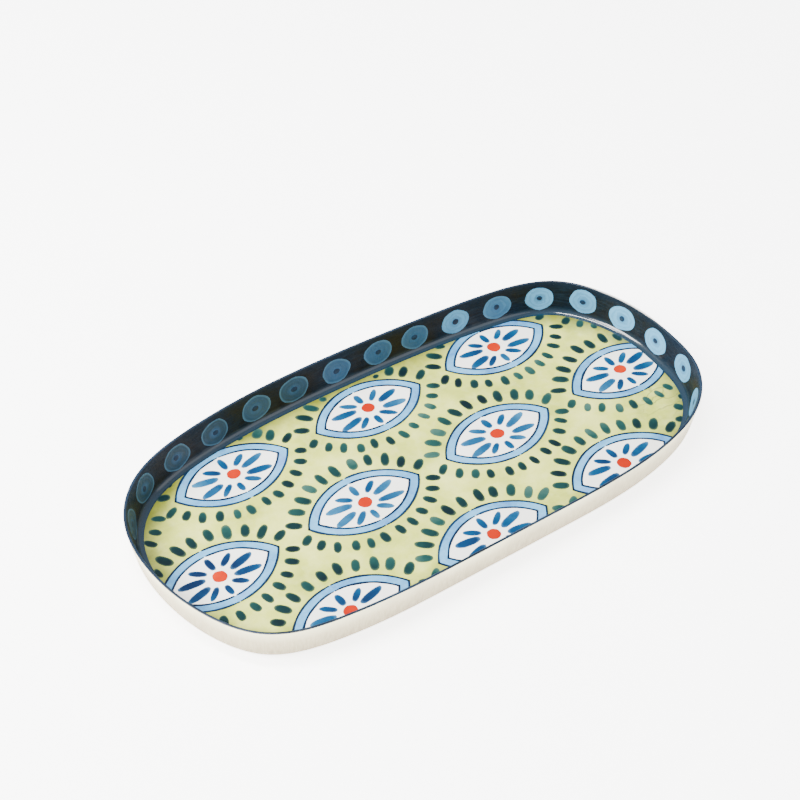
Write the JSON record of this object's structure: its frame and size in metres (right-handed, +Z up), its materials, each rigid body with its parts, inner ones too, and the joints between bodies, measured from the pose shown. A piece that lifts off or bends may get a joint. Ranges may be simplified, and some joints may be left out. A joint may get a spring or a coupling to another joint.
{
  "type": "painted serving tray",
  "caption": "Oblong shallow serving tray with rounded ends, enamelled inside and painted with eyes and a ring of wall discs.",
  "frame": {"origin": "middle of the tray's footprint, on the surface it stands on", "axes": "+X along the tray's length, +Y across it, +Z up out of the open top"},
  "size_m": [0.3602, 0.1816, 0.024],
  "materials": {
    "body_white": "matt off-white coat over cast aluminium",
    "navy_enamel": "glossy navy enamel with brush streaks",
    "rim_navy": "glossy navy line",
    "sage_enamel": "glossy mottled sage-cream enamel",
    "pale_blue": "glossy pale blue brushwork",
    "cream_white": "glossy cream white",
    "navy_line": "glossy navy brush line",
    "petal_blue": "glossy blue brush stroke",
    "orange_red": "glossy orange-red dab",
    "teal_green": "glossy dark teal brush dab",
    "sky_blue": "glossy sky blue brush disc",
    "pupil_navy": "glossy navy dot"
  },
  "bodies": {
    "root": {"tray_body": "body_white", "wall_enamel": "navy_enamel", "rim_enamel": "rim_navy", "floor_enamel": "sage_enamel", "eye_bands": "pale_blue", "eye_fields": "cream_white", "eye_outlines": "navy_line", "eye_petals": "petal_blue", "eye_dots": "orange_red", "eye_lashes": "teal_green", "wall_discs": "sky_blue", "wall_disc_pupils": "pupil_navy"}
  },
  "joints": []
}
